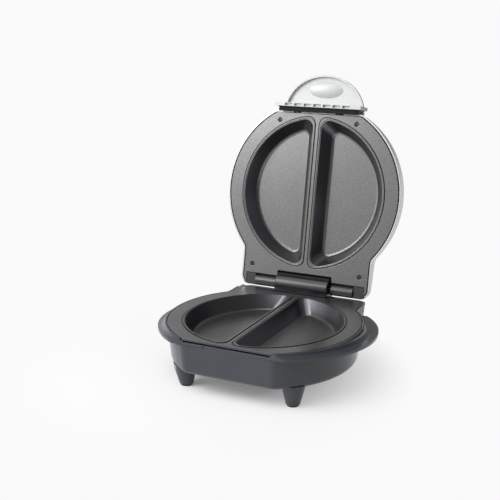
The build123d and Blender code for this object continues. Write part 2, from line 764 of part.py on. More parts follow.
def lid_inner_frame():
    """The dark frame that carries the plate, the hinge barrels and the latch lugs."""
    outline = plan(frame_grow, frame_front_grow, front_corner)
    solid_plan = Pos(0, 0, lid_face) * extrude(outline, amount=frame_pocket_ceiling + frame_thickness)
    frame = solid_plan & slab(-far, far, -far, far, lid_face + frame_recess, ledge_high)
    wall_side = hinge_pocket_half_width + frame_thickness
    wall_front = flange_rear - frame_thickness
    frame += solid_plan & slab(-wall_side, wall_side, wall_front, far, ledge_low, far)
    seat = plan(plate_edge_gap, plate_edge_gap, front_corner)
    frame -= Pos(0, 0, lid_face) * extrude(seat, amount=flange_thickness)
    frame -= post(0, 0, 0, far, pan_radius + pan_wall + frame_opening_gap)
    pocket_side = barrel_outer_x + barrel_end_gap
    pocket_top = lid_face + frame_pocket_ceiling
    frame -= slab(-pocket_side, pocket_side, flange_rear, rear_edge, 0, pocket_top)
    beside = slab(pocket_side, hinge_pocket_half_width - plate_edge_gap,
                  flange_rear + barrel_front_gap, rear_edge, lid_face, ledge_high)
    frame += join(both_sides(beside))
    hood = block_notch(hood_wall) & cover_form(cover_wall + hole_clearance)
    frame += hood & slab(-far, far, -far, far, ledge_low, far)

    # the barrels and the rear lip reach past the inside of the cover
    inside = cover_form(cover_wall + frame_fit)
    under_cover = slab(-far, far, 0, rear_edge + cover_grow, 0, ledge_high - frame_fit)
    barrel = cross_rod(barrel_length / 2, hinge_y, hinge_z, barrel_radius)
    barrel_x = (barrel_inner_x + barrel_outer_x) / 2
    barrels = join([Pos(side * barrel_x, 0, 0) * barrel for side in (-1, 1)])
    lip = slab(-far, far, rear_edge + frame_fit, far, 0, ledge_high - frame_fit)
    frame = (frame & inside) + (barrels & (inside + under_cover)) + (cover_form(0) & lip)
    frame -= block_notch(0)
    frame -= swing_relief()
    frame -= cross_rod(far, hinge_y, hinge_z, hinge_pin_radius + running_clearance)

    lug_back = lug_depth - front_flat
    for x in (-lug_x, lug_x):
        half = lug_width / 2
        frame += slab(x - half, x + half, pivot_y, lug_back, pivot_z - lug_radius, pivot_z + lug_radius)
        frame += slab(x - half, x + half, -front_flat, lug_back, ledge_low, pivot_z)
        frame += Pos(x, 0, 0) * cross_rod(half, pivot_y, pivot_z, lug_radius)
    frame -= cross_rod(lug_x + lug_width, pivot_y, pivot_z, latch_pin_radius + tight_clearance)
    for x, y in upper_screw_spots:
        frame += post(x, y, ledge_low, lid_face + lid_boss_height, boss_radius)
        tip = lid_face + plate_screw[1] + plate_screw[3]
        frame -= post(x, y, lid_face, tip, tapped(plate_screw))
    for x, y in lid_screw_spots:
        frame -= Pos(x, y, ledge_low) * countersink(plate_screw)
    return frame


def upper_cooking_plate():
    """The plate blank in the lid, with countersunk holes in its flange."""
    plate = face_down(trim_hinge_zone(plate_blank()))
    for x, y in upper_screw_spots:
        plate -= Pos(x, y, lid_face) * countersink(plate_screw)
    return plate - swing_relief()


def lamp_lens(x):
    """A round lens that sits in the cover with a collar behind it."""
    cover_top = lid_face + cover_crown - lamp_y**2 / (2 * cover_dome_radius)
    under = cover_top - cover_wall - lens_collar
    stem = post(x, lamp_y, under - lens_stem, cover_top + lens_proud, lamp_radius)
    stem = fillet(stem.edges().group_by(Axis.Z)[-1], lens_edge)
    return stem + post(x, lamp_y, under - lens_collar_height, under, lamp_radius + lens_collar)


def lamp_holder():
    """A tray under the lenses that holds the two neon lamps."""
    half = lamp_x + lamp_radius + holder_side
    low = lid_face - pan_under + holder_above_pan
    tray = middle_slab(0, half, lamp_y, holder_half_length, low, far)
    wall = holder_wall
    tray -= middle_slab(0, half - wall, lamp_y, holder_half_length - wall, low + wall, far)
    return tray & cover_form(cover_wall + 2 * running_clearance)


def neon_lamps():
    """Two glass lamps lying in the holder under the lenses."""
    z = lid_face - pan_under + holder_above_pan + holder_wall + neon_radius + 2 * running_clearance
    low_y = lamp_y - neon_length / 2
    return [depth_rod(x, low_y, low_y + neon_length, z, neon_radius) for x in (-lamp_x, lamp_x)]


def latch_pin():
    """The pin that the handle swings on."""
    return cross_rod(latch_pin_half_length, pivot_y, pivot_z, latch_pin_radius)


# ---------------------------------------------------------------- latch pieces, drawn on the shut lid
def oval(y, half_width, half_length, z_low, z_high):
    """An upright prism with an oval outline."""
    return Pos(0, y, z_low) * extrude(Ellipse(half_width, half_length), amount=z_high - z_low)


def thumb_dome(inset):
    """The spheroid lying across the paddle whose lower cap makes the thumb recess."""
    radius = (thumb_half_length**2 + thumb_depth**2) / (2 * thumb_depth)
    length = thumb_half_width * radius / thumb_half_length
    half = Ellipse(length - inset, radius - inset) & Pos(0, radius / 2) * Rectangle(2 * length, radius)
    centre_z = lid_face + paddle_top - paddle_wall - thumb_depth + radius
    return Pos(0, -front_flat - thumb_ahead, centre_z) * revolve(half, axis=Axis.X)


def latch_handle():
    """The paddle with its ribbed strip, thumb recess and pivot ears."""
    rim = lid_face + paddle_rim
    top = lid_face + paddle_top
    under = top - paddle_wall
    centre_y = -front_flat - paddle_ahead
    outer = oval(centre_y, paddle_half_width, paddle_length, rim, top)
    outer = fillet(outer.edges().group_by(Axis.Z)[-1], paddle_edge_fillet)
    inner = oval(centre_y, paddle_half_width - paddle_wall, paddle_length - paddle_wall, rim, under)
    inner = fillet(inner.edges().group_by(Axis.Z)[-1], paddle_edge_fillet - paddle_wall)
    handle = (outer - inner) & slab(-far, far, -far, -front_flat - paddle_root_ahead, 0, far)

    handle += thumb_dome(0) & slab(-far, far, -far, far, 0, under + paddle_wall / 2)
    handle -= thumb_dome(paddle_wall)

    strip_high = under - strip_edge / 2
    strip = slab(-strip_half_width, strip_half_width, strip_outer_y, strip_inner_y, strip_low, strip_high)
    handle += fillet(strip.edges().filter_by(Axis.Z), strip_edge)
    pocket_y = (strip_outer_y + strip_inner_y) / 2
    for index in range(pocket_count):
        x = (index - (pocket_count - 1) / 2) * pocket_pitch
        handle -= middle_slab(x, pocket_width / 2, pocket_y, pocket_thickness / 2,
                              strip_low, strip_low + pocket_depth)

    for side in (-1, 1):
        x = side * (latch_pin_half_length - hole_clearance) - side * ear_width / 2
        half = ear_width / 2
        ear_top = under + paddle_wall / 2
        handle += slab(x - half, x + half, strip_inner_y - 1, pivot_y, pivot_z - lug_radius, ear_top)
        handle += Pos(x, 0, 0) * cross_rod(half, pivot_y, pivot_z, lug_radius)
    for x in hook_screw_x:
        tip = strip_inner_y - hook_screw[3]
        handle -= depth_rod(x, tip, strip_inner_y, lid_face, tapped(hook_screw))
    hole_half = latch_pin_half_length + hole_clearance
    return handle - cross_rod(hole_half, pivot_y, pivot_z, latch_pin_radius + running_clearance)


def latch_hook():
    """The bar behind the ribbed strip, with the lip that catches under the lower plate."""
    side = hook_half_width
    hook = slab(-side, side, strip_inner_y, hook_inner_y, strip_low, lid_face + hook_top)
    lip_low = strip_low + lip_lift
    hook += slab(-side, side, strip_inner_y, strip_inner_y + lip_reach, lip_low, lip_low + lip_thickness)
    for x in hook_screw_x:
        hook -= Pos(x, hook_inner_y, lid_face) * Rot(90, 0, 0) * countersink(hook_screw)
    return hook


def latch_hook_screws():
    """Countersunk screws that hold the bar to the handle's strip."""
    place = Pos(0, hook_inner_y, lid_face) * Rot(90, 0, 0)
    return [place * Pos(x, 0, 0) * screw_form(hook_screw, True) for x in hook_screw_x]


# ---------------------------------------------------------------- the assembly
def lower(shape):
    """Places a piece drawn below a face at z = 0 under the lower plate."""
    return Pos(0, 0, face_height) * shape


def face_down(shape):
    """Puts a piece drawn below a plate's face above the lid's face instead."""
    return Pos(0, 0, lid_face) * Rot(0, 180, 0) * shape


def several(shapes):
    """Separate solids that share one node."""
    return Compound(children=[solid for shape in shapes for solid in shape.solids()])


clamp_screws = several(screws_under(small_screw, clamp_spots, clamp_low))
shield_screws = several(screws_under(small_screw, shield_spots, shield_low))
element = element_tube(element_radius)
window_radius = thermostat_body_radius + thermostat_window_gap
thermostat_window = post(thermostat_x, 0, shield_low, shield_top, window_radius)

base_pieces = {
    "base_housing": base_housing(),
    "bottom_cover": bottom_cover(),
    "bottom_cover_screws": several(screws_under(small_screw, cover_screw_spots, floor_height)),
    "foot_pads": several(foot_pads()),
    "lower_cooking_plate": lower(lower_cooking_plate()),
    "lower_plate_screws": several(screws_under(plate_screw, base_screw_spots, boss_seat)),
    "lower_heating_element": lower(element),
    "lower_element_terminals": lower(several(element_terminals())),
    "lower_element_clamps": lower(several(clamps())),
    "lower_clamp_screws": lower(clamp_screws),
    "lower_heat_shield": lower(shield(thermostat_window)),
    "lower_shield_screws": lower(shield_screws),
    "thermostat": lower(thermostat()),
    "thermostat_bracket": lower(thermostat_bracket()),
    "thermostat_screws": lower(several(screws_under(thermostat_screw, thermostat_screw_spots, bracket_low))),
    "thermal_fuse": lower(thermal_fuse()),
    "thermal_fuse_clip": lower(thermal_fuse_clip()),
    "thermal_fuse_screw": lower(several(screws_under(fuse_screw, [(fuse_screw_x, 0)], fuse_clip_low))),
    "terminal_block": terminal_block(),
    "terminal_block_screw": terminal_block_screw(),
    "cord_gland": cord_gland(),
    "hinge_block": hinge_block(),
    "hinge_block_screws": several(screws_under(plate_screw, block_screw_spots, deck_low)),
    "hinge_pin": hinge_pin(),
}
lid_pieces = {
    "lid_cover": lid_cover(),
    "lid_inner_frame": lid_inner_frame(),
    "lid_frame_screws": several(flush_screws(plate_screw, lid_screw_spots, ledge_low)),
    "upper_cooking_plate": upper_cooking_plate(),
    "upper_plate_screws": several(flush_screws(plate_screw, upper_screw_spots, lid_face)),
    "upper_heating_element": face_down(element),
    "upper_element_terminals": face_down(several(element_terminals())),
    "upper_element_clamps": face_down(several(clamps())),
    "upper_clamp_screws": face_down(clamp_screws),
    "upper_heat_shield": face_down(shield(None)),
    "upper_shield_screws": face_down(shield_screws),
    "power_lamp_lens": lamp_lens(-lamp_x),
    "ready_lamp_lens": lamp_lens(lamp_x),
    "neon_lamps": several(neon_lamps()),
    "lamp_holder": lamp_holder(),
    "latch_pin": latch_pin(),
}
latch_pieces = {
    "latch_handle": latch_handle(),
    "latch_hook": latch_hook(),
    "latch_hook_screws": several(latch_hook_screws()),
}

to_origin = Pos(0, -origin_behind_circle, 0)
open_lid = Pos(0, hinge_y, hinge_z) * Rot(-open_angle, 0, 0) * Pos(0, -hinge_y, -hinge_z)

os.makedirs("parts", exist_ok=True)
for name, shape in base_pieces.items():
    export_step(to_origin * shape, f"parts/{name}.step")
for name, shape in (lid_pieces | latch_pieces).items():
    export_step(to_origin * open_lid * shape, f"parts/{name}.step")
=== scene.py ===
import bmesh
import bpy
import math
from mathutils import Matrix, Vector


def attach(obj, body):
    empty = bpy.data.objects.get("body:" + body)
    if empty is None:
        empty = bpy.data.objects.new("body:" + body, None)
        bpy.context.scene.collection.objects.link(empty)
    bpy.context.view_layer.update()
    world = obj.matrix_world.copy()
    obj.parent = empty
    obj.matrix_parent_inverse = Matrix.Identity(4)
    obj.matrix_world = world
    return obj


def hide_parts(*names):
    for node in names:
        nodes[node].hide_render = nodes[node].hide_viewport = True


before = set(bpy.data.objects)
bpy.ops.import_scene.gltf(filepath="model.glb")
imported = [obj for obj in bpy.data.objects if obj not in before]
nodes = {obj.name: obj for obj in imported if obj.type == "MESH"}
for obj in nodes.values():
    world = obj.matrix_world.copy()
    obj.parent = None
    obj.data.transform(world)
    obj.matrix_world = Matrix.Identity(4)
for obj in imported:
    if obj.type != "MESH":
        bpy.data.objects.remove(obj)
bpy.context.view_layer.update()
print("frame loaded:", len(nodes), "nodes")

lidOpen = math.radians(100.84)
lidOutward = (0, math.sin(lidOpen), math.cos(lidOpen))     # the way the open lid's cover faces


def toLinear(hexText):
    values = []
    for start in (1, 3, 5):
        part = int(hexText[start:start + 2], 16) / 255
        values.append(part / 12.92 if part <= 0.04045 else ((part + 0.055) / 1.055) ** 2.4)
    return (*values, 1.0)


def addObject(name, data):
    item = bpy.data.objects.new(name, data)
    bpy.context.scene.collection.objects.link(item)
    return item


def addNode(tree, kind, inputs=None, **settings):
    # inputs go by a socket's name or number, and take a plain value or another node's socket
    node = tree.nodes.new(kind)
    for name, value in settings.items():
        setattr(node, name, value)
    for key, value in (inputs or {}).items():
        if isinstance(value, bpy.types.NodeSocket):
            tree.links.new(value, node.inputs[key])
        else:
            node.inputs[key].default_value = value
    return node


camera = {
    "place": (0.4018, -0.8887, 0.3870),
    "azimuth": 26.19,                  # degrees, turned to the left of +Y
    "elevation": 15.04,                # degrees below the horizontal
    "lens": 69.2,
    "sensor": 36,
}
lamps = {                              # a sun's width is in degrees, a panel's in metres
    "overheadLight": {"kind": "SUN", "strength": 0.95, "place": (-0.2, -0.45, 1.15), "width": 50},
    "sidePanel": {"kind": "AREA", "strength": 3.7, "place": (-0.57, -0.66, 0.65), "width": 0.48},
}
lampAim = (0, 0.05, 0.15)
room = {
    "paper": "#fafafa",
    "softboxLevel": 1.5,               # a broad light to the front left
    "softboxFrom": (-0.64, -0.62, 0.45),
    "softboxEdge": (0.68, 0.97),       # cosines of the angles where it begins and where it is full
    "dimLevel": 0.14,                  # the rest of the room
    # the paper is mirrored from behind and below, and only faintly to the right
    "mirrorBehind": (0.0, 0.35),
    "mirrorBelow": (0.25, 0.5),
    "mirrorLeft": (-0.5, -0.3),
    "mirrorRight": 0.15,
}
floor = {
    "paper": "#fafafa",
    "bounce": "#a8a8a8",               # the paper as the cooker sees it, dimmer than it looks
    "lift": 0.175,                     # keeps the paper white without more light on the cooker
    "shadowMiddle": (-0.056, -0.05, 0),
    "shadowReach": (0.08, 0.215),      # the shadow is whole within the first, gone past the second
    "halfSide": 30,
}


def makeCamera(values):
    data = bpy.data.cameras.new("camera")
    data.lens = values["lens"]
    data.sensor_width = values["sensor"]
    data.clip_start, data.clip_end = 0.01, 100
    item = addObject("camera", data)
    item.location = values["place"]
    item.rotation_euler = (math.radians(90 - values["elevation"]), 0, math.radians(values["azimuth"]))
    bpy.context.scene.camera = item


def makeLamp(name, values, aim):
    data = bpy.data.lights.new(name, values["kind"])
    data.energy = values["strength"]
    if values["kind"] == "SUN":
        data.angle = math.radians(values["width"])
    else:
        data.size = values["width"]
    item = addObject(name, data)
    item.location = values["place"]
    item.rotation_euler = (Vector(values["place"]) - Vector(aim)).to_track_quat("Z", "Y").to_euler()


def makeRoom(values):
    # a dim room with one broad soft light in front, and white paper behind the cooker
    world = bpy.data.worlds.new("studio")
    bpy.context.scene.world = world
    world.use_nodes = True
    tree = world.node_tree
    tree.nodes.clear()
    direction = addNode(tree, "ShaderNodeTexCoord").outputs["Generated"]
    along = addNode(tree, "ShaderNodeSeparateXYZ", {0: direction}).outputs
    low, high = values["mirrorBehind"]
    behind = addNode(tree, "ShaderNodeMapRange", {0: along["Y"], 1: low, 2: high, 3: 0, 4: 1})
    low, high = values["mirrorBelow"]
    below = addNode(tree, "ShaderNodeMapRange", {0: along["Z"], 1: low, 2: high, 3: 1, 4: 0})
    low, high = values["mirrorLeft"]
    left = addNode(tree, "ShaderNodeMapRange", {0: along["X"], 1: low, 2: high,
                                                3: 1, 4: values["mirrorRight"]})
    towards = Vector(values["softboxFrom"]).normalized()
    facing = addNode(tree, "ShaderNodeVectorMath", {0: direction, 1: towards}, operation="DOT_PRODUCT")
    low, high = values["softboxEdge"]
    level = addNode(tree, "ShaderNodeMapRange", {0: facing.outputs["Value"], 1: low, 2: high,
                                                 3: values["dimLevel"], 4: values["softboxLevel"]})
    light = addNode(tree, "ShaderNodeBackground", {"Color": (1, 1, 1, 1), "Strength": level.outputs[0]})
    back = addNode(tree, "ShaderNodeBackground", {"Color": toLinear(values["paper"]), "Strength": 1.0})
    rays = addNode(tree, "ShaderNodeLightPath").outputs
    seen = addNode(tree, "ShaderNodeMath", {0: rays["Is Camera Ray"], 1: rays["Is Transmission Ray"]},
                   operation="MAXIMUM")
    glossy = addNode(tree, "ShaderNodeMath", {0: rays["Is Glossy Ray"], 1: left.outputs[0]},
                     operation="MULTIPLY")
    corner = addNode(tree, "ShaderNodeMath", {0: behind.outputs[0], 1: below.outputs[0]},
                     operation="MULTIPLY")
    mirrored = addNode(tree, "ShaderNodeMath", {0: glossy.outputs[0], 1: corner.outputs[0]},
                       operation="MULTIPLY")
    share = addNode(tree, "ShaderNodeMath", {0: seen.outputs[0], 1: mirrored.outputs[0]},
                    operation="MAXIMUM")
    both = addNode(tree, "ShaderNodeMixShader", {0: share.outputs[0], 1: light.outputs[0],
                                                 2: back.outputs[0]})
    addNode(tree, "ShaderNodeOutputWorld", {"Surface": both.outputs[0]})


def newMaterial(name):
    material = bpy.data.materials.new(name)
    material.use_nodes = True
    material.node_tree.nodes.clear()
    return material, material.node_tree


def makeFloor(values):
    # matt paper that keeps the shadow near the cooker and is plain white further off
    mesh = bpy.data.meshes.new("paperFloor")
    far = values["halfSide"]
    mesh.from_pydata([(-far, -far, 0), (far, -far, 0), (far, far, 0), (-far, far, 0)], [], [(0, 1, 2, 3)])
    item = addObject("paperFloor", mesh)
    material, tree = newMaterial("mattPaper")
    place = addNode(tree, "ShaderNodeTexCoord").outputs["Object"]
    length = addNode(tree, "ShaderNodeVectorMath", {0: place, 1: values["shadowMiddle"]},
                     operation="DISTANCE")
    low, high = values["shadowReach"]
    away = addNode(tree, "ShaderNodeMapRange", {0: length.outputs["Value"], 1: low, 2: high, 3: 0, 4: 1})
    rays = addNode(tree, "ShaderNodeLightPath").outputs
    seen = addNode(tree, "ShaderNodeMath", {0: rays["Is Camera Ray"], 1: rays["Is Glossy Ray"]},
                   operation="MAXIMUM")
    paper = toLinear(values["paper"])
    shade = addNode(tree, "ShaderNodeMix", {0: seen.outputs[0], 6: toLinear(values["bounce"]), 7: paper},
                    data_type="RGBA")
    lit = addNode(tree, "ShaderNodeBsdfDiffuse", {"Color": shade.outputs[2]})
    glow = addNode(tree, "ShaderNodeMath", {0: seen.outputs[0], 1: values["lift"]}, operation="MULTIPLY")
    lift = addNode(tree, "ShaderNodeEmission", {"Color": paper, "Strength": glow.outputs[0]})
    near = addNode(tree, "ShaderNodeAddShader", {0: lit.outputs[0], 1: lift.outputs[0]})
    plain = addNode(tree, "ShaderNodeEmission", {"Color": paper, "Strength": 1.0})
    share = addNode(tree, "ShaderNodeMath", {0: away.outputs[0], 1: seen.outputs[0]}, operation="MULTIPLY")
    both = addNode(tree, "ShaderNodeMixShader", {0: share.outputs[0], 1: near.outputs[0],
                                                 2: plain.outputs[0]})
    addNode(tree, "ShaderNodeOutputMaterial", {"Surface": both.outputs[0]})
    mesh.materials.append(material)


makeCamera(camera)
makeRoom(room)
makeFloor(floor)
for name, values in lamps.items():
    makeLamp(name, values, lampAim)
print("camera, floor and light made")


def textureScale(millimetres):
    # for a feature of this size, on a part in metres
    return 1000 / millimetres


noiseBand = {1: 0.3, 2: 0.7}           # sockets From Min and From Max: most of a noise lies between
coating = {
    "flake": ("#6a6a6a", "#858585"), "flakeSize": 0.9,      # really 0.2 mm, drawn larger so that it shows
    "flakeBand": {1: 0.35, 2: 0.68},
    "wall": "#57585d", "wallSlope": (0.45, 0.85),           # cosines to the plate's face: painted wall shade, flake
    "groove": "#1c1c1d", "grooveWidth": 0.0016,             # metres; the painted groove shade's colour and reach
    "grooveOpen": (0.35, 0.85),                             # how open a spot is: all painted groove shade, none
    "gloss": (0.285, 0.345), "glossPatch": 38,
}


def nonStickCoating(name, flat, values):
    # sprayed PTFE with metal flake on die-cast aluminium: mid grey, softly metallic, finely speckled
    material, tree = newMaterial(name)
    where = addNode(tree, "ShaderNodeTexCoord").outputs
    flake = addNode(tree, "ShaderNodeTexNoise", {"Vector": where["Object"], "Detail": 2.0, "Roughness": 0.6,
                                                 "Scale": textureScale(values["flakeSize"])})
    dots = addNode(tree, "ShaderNodeMapRange", {0: flake.outputs["Fac"], **values["flakeBand"], 3: 0, 4: 1})
    dark, light = values["flake"]
    sprayed = addNode(tree, "ShaderNodeMix", {0: dots.outputs[0], 6: toLinear(dark), 7: toLinear(light)},
                      data_type="RGBA")
    # painted shade: steep walls, turned away from the plate's face, take a darker colour than the flaked
    # floors and flanges
    slope = addNode(tree, "ShaderNodeVectorMath", {0: where["Normal"], 1: flat}, operation="DOT_PRODUCT")
    low, high = values["wallSlope"]
    level = addNode(tree, "ShaderNodeMapRange", {0: slope.outputs["Value"], 1: low, 2: high, 3: 0, 4: 1})
    plain = addNode(tree, "ShaderNodeMix", {0: level.outputs[0], 6: toLinear(values["wall"]),
                                            7: sprayed.outputs[2]}, data_type="RGBA")
    # painted shade: an ambient-occlusion mask darkens the coat in grooves, along the beads and round the
    # screws, where shade falls
    occlusionShade = addNode(tree, "ShaderNodeAmbientOcclusion", {"Distance": values["grooveWidth"]}, samples=8)
    low, high = values["grooveOpen"]
    depth = addNode(tree, "ShaderNodeMapRange", {0: occlusionShade.outputs["AO"], 1: low, 2: high, 3: 0, 4: 1})
    colour = addNode(tree, "ShaderNodeMix", {0: depth.outputs[0], 6: toLinear(values["groove"]),
                                             7: plain.outputs[2]}, data_type="RGBA")
    cloud = addNode(tree, "ShaderNodeTexNoise", {"Vector": where["Object"], "Detail": 3.0,
                                                 "Scale": textureScale(values["glossPatch"])})
    low, high = values["gloss"]
    gloss = addNode(tree, "ShaderNodeMapRange", {0: cloud.outputs["Fac"], **noiseBand, 3: low, 4: high})
    edge = addNode(tree, "ShaderNodeBevel", {"Radius": 0.0008}, samples=6)
    bump = addNode(tree, "ShaderNodeBump", {"Strength": 0.15, "Distance": 0.00008,
                                            "Height": flake.outputs["Fac"], "Normal": edge.outputs[0]})
    coat = addNode(tree, "ShaderNodeBsdfPrincipled", {"Base Color": colour.outputs[2], "Metallic": 0.85,
                                                      "Roughness": gloss.outputs[0],
                                                      "Normal": bump.outputs[0]})
    addNode(tree, "ShaderNodeOutputMaterial", {"Surface": coat.outputs[0]})
    return material


def mouldedPlastic(name, dark, light, roughness, grain, edgeRadius=0.0006):
    # injection-moulded polypropylene or phenolic: an even satin from the tool's spark-eroded grain
    material, tree = newMaterial(name)
    place = addNode(tree, "ShaderNodeTexCoord").outputs["Object"]
    broad = addNode(tree, "ShaderNodeTexNoise", {"Vector": place, "Scale": textureScale(60), "Detail": 2.0})
    shade = addNode(tree, "ShaderNodeMapRange", {0: broad.outputs["Fac"], **noiseBand, 3: 0, 4: 1})
    colour = addNode(tree, "ShaderNodeMix", {0: shade.outputs[0], 6: toLinear(dark), 7: toLinear(light)},
                     data_type="RGBA")
    fine = addNode(tree, "ShaderNodeTexNoise", {"Vector": place, "Scale": textureScale(grain),
                                                "Detail": 2.0})
    gloss = addNode(tree, "ShaderNodeMapRange", {0: fine.outputs["Fac"], **noiseBand,
                                                 3: roughness - 0.03, 4: roughness + 0.03})
    edge = addNode(tree, "ShaderNodeBevel", {"Radius": edgeRadius}, samples=4)
    bump = addNode(tree, "ShaderNodeBump", {"Strength": 0.02, "Distance": 0.00002,
                                            "Height": fine.outputs["Fac"], "Normal": edge.outputs[0]})
    plastic = addNode(tree, "ShaderNodeBsdfPrincipled", {"Base Color": colour.outputs[2], "IOR": 1.5,
                                                         "Roughness": gloss.outputs[0],
                                                         "Normal": bump.outputs[0]})
    addNode(tree, "ShaderNodeOutputMaterial", {"Surface": plastic.outputs[0]})
    return material


def silverLacquer(name, dark, light, metallic, roughness, edgeRadius=0.0008):
    # aluminium-flake lacquer over a smooth moulding: pale, softly metallic, with a fine sparkle
    material, tree = newMaterial(name)
    place = addNode(tree, "ShaderNodeTexCoord").outputs["Object"]
    flake = addNode(tree, "ShaderNodeTexVoronoi", {"Vector": place, "Scale": textureScale(0.8)})
    sparkle = addNode(tree, "ShaderNodeSeparateColor", {0: flake.outputs["Color"]})
    colour = addNode(tree, "ShaderNodeMix", {0: sparkle.outputs[0], 6: toLinear(dark), 7: toLinear(light)},
                     data_type="RGBA")
    broad = addNode(tree, "ShaderNodeTexNoise", {"Vector": place, "Scale": textureScale(50), "Detail": 2.0})
    gloss = addNode(tree, "ShaderNodeMapRange", {0: broad.outputs["Fac"], **noiseBand,
                                                 3: roughness - 0.02, 4: roughness + 0.03})
    edge = addNode(tree, "ShaderNodeBevel", {"Radius": edgeRadius}, samples=4)
    bump = addNode(tree, "ShaderNodeBump", {"Strength": 0.05, "Distance": 0.00005,
                                            "Height": flake.outputs["Distance"],
                                            "Normal": edge.outputs[0]})
    lacquer = addNode(tree, "ShaderNodeBsdfPrincipled", {"Base Color": colour.outputs[2],
                                                         "Metallic": metallic,
                                                         "Roughness": gloss.outputs[0],
                                                         "Normal": bump.outputs[0]})
    addNode(tree, "ShaderNodeOutputMaterial", {"Surface": lacquer.outputs[0]})
    return material


def groundSteel(name, dark, light, roughness, stretch=(1, 1, 1)):
    # turned or drawn metal: bright, with fine rings or lines along its length
    material, tree = newMaterial(name)
    place = addNode(tree, "ShaderNodeTexCoord").outputs["Object"]
    turned = addNode(tree, "ShaderNodeMapping", {"Vector": place, "Scale": stretch})
    lines = addNode(tree, "ShaderNodeTexNoise", {"Vector": turned.outputs[0], "Scale": textureScale(1.5),
                                                 "Detail": 3.0})
    shade = addNode(tree, "ShaderNodeMapRange", {0: lines.outputs["Fac"], **noiseBand, 3: 0, 4: 1})
    colour = addNode(tree, "ShaderNodeMix", {0: shade.outputs[0], 6: toLinear(dark), 7: toLinear(light)},
                     data_type="RGBA")
    gloss = addNode(tree, "ShaderNodeMapRange", {0: lines.outputs["Fac"], **noiseBand,
                                                 3: roughness - 0.06, 4: roughness + 0.06})
    edge = addNode(tree, "ShaderNodeBevel", {"Radius": 0.0003}, samples=4)
    metal = addNode(tree, "ShaderNodeBsdfPrincipled", {"Base Color": colour.outputs[2], "Metallic": 1.0,
                                                       "Roughness": gloss.outputs[0],
                                                       "Normal": edge.outputs[0]})
    addNode(tree, "ShaderNodeOutputMaterial", {"Surface": metal.outputs[0]})
    return material


def tintedLens(name, dark, light):
    # moulded acrylic: clear and glossy, coloured all through
    material, tree = newMaterial(name)
    place = addNode(tree, "ShaderNodeTexCoord").outputs["Object"]
    depth = addNode(tree, "ShaderNodeTexNoise", {"Vector": place, "Scale": textureScale(3)})
    colour = addNode(tree, "ShaderNodeMix", {0: depth.outputs["Fac"], 6: toLinear(dark),
                                             7: toLinear(light)}, data_type="RGBA")
    acrylic = addNode(tree, "ShaderNodeBsdfPrincipled", {"Base Color": colour.outputs[2], "Roughness": 0.08,
                                                         "IOR": 1.49, "Transmission Weight": 0.5})
    addNode(tree, "ShaderNodeOutputMaterial", {"Surface": acrylic.outputs[0]})
    return material


lidInward = tuple(-value for value in lidOutward)
# no gloss range crosses a roughness of 0.274, where the denoiser leaves wavy lines or grain
finishes = {
    "lowerNonStick": nonStickCoating("lowerFlakeNonStick", (0, 0, 1), coating),
    "upperNonStick": nonStickCoating("upperFlakeNonStick", lidInward, coating),
    "housing": mouldedPlastic("satinGreyPolypropylene", "#454950", "#4c5057", roughness=0.19, grain=1.2),
    "frame": silverLacquer("greyLacquer", "#3c3e40", "#47494b", metallic=0.35, roughness=0.22,
                           edgeRadius=0.0004),
    "block": mouldedPlastic("darkGreyPhenolic", "#1b1c1e", "#212225", roughness=0.19, grain=2.0),
    "bottom": mouldedPlastic("mattBlackPolypropylene", "#26272a", "#2d2e31", roughness=0.5, grain=1.2),
    "rubber": mouldedPlastic("mattRubber", "#1b1b1c", "#242425", roughness=0.75, grain=0.9),
    "ceramic": mouldedPlastic("whiteSteatite", "#cfcabc", "#dcd8cc", roughness=0.35, grain=2.0),
    "cover": silverLacquer("silverLidLacquer", "#cdd0d2", "#dcdedf", metallic=0.6, roughness=0.31),
    "handle": silverLacquer("paleSilverLacquer", "#d0d2d2", "#dadbdb", metallic=0.2, roughness=0.42,
                            edgeRadius=0.0003),
    "hook": mouldedPlastic("blackCoatedSteel", "#060708", "#0b0c0d", roughness=0.8, grain=1.5,
                           edgeRadius=0.0002),
    "pin": groundSteel("groundSteel", "#a5a5a2", "#c6c6c3", roughness=0.20, stretch=(0.15, 1, 1)),
    "sheet": groundSteel("brightSheetSteel", "#9b9b98", "#b5b5b2", roughness=0.35, stretch=(0.2, 1, 1)),
    "screw": groundSteel("zincPlatedSteel", "#8b8b88", "#a4a4a1", roughness=0.35),
    "plateScrew": groundSteel("dullZincSteel", "#4b4b4c", "#5c5c5d", roughness=0.36),
    "blackScrew": groundSteel("blackenedSteel", "#3a3a3c", "#4b4b4d", roughness=0.38),
    "element": groundSteel("oxidisedSteelTube", "#4a4844", "#6a6761", roughness=0.45),
    "brass": groundSteel("tinnedBrass", "#a08a55", "#c0a970", roughness=0.35),
    "redLens": tintedLens("redAcrylic", "#a3130c", "#c8261b"),
    "greenLens": tintedLens("greenAcrylic", "#0d7a2c", "#1fa347"),
    "glass": tintedLens("lampGlass", "#d9cfc6", "#efe6de"),
}
wearers = {
    "lowerNonStick": ["lower_cooking_plate"],
    "upperNonStick": ["upper_cooking_plate"],
    "housing": ["base_housing"],
    "frame": ["lid_inner_frame"],
    "block": ["hinge_block"],
    "bottom": ["bottom_cover", "lamp_holder"],
    "rubber": ["foot_pads", "cord_gland"],
    "ceramic": ["lower_element_terminals", "upper_element_terminals", "terminal_block", "thermostat"],
    "cover": ["lid_cover"],
    "handle": ["latch_handle"],
    "hook": ["latch_hook"],
    "pin": ["hinge_pin", "latch_pin"],
    "sheet": ["lower_heat_shield", "upper_heat_shield", "lower_element_clamps", "upper_element_clamps",
              "thermostat_bracket", "thermal_fuse_clip"],
    "element": ["lower_heating_element", "upper_heating_element"],
    "brass": ["thermal_fuse"],
    "redLens": ["power_lamp_lens"],
    "greenLens": ["ready_lamp_lens"],
    "glass": ["neon_lamps"],
    "blackScrew": ["latch_hook_screws"],
}


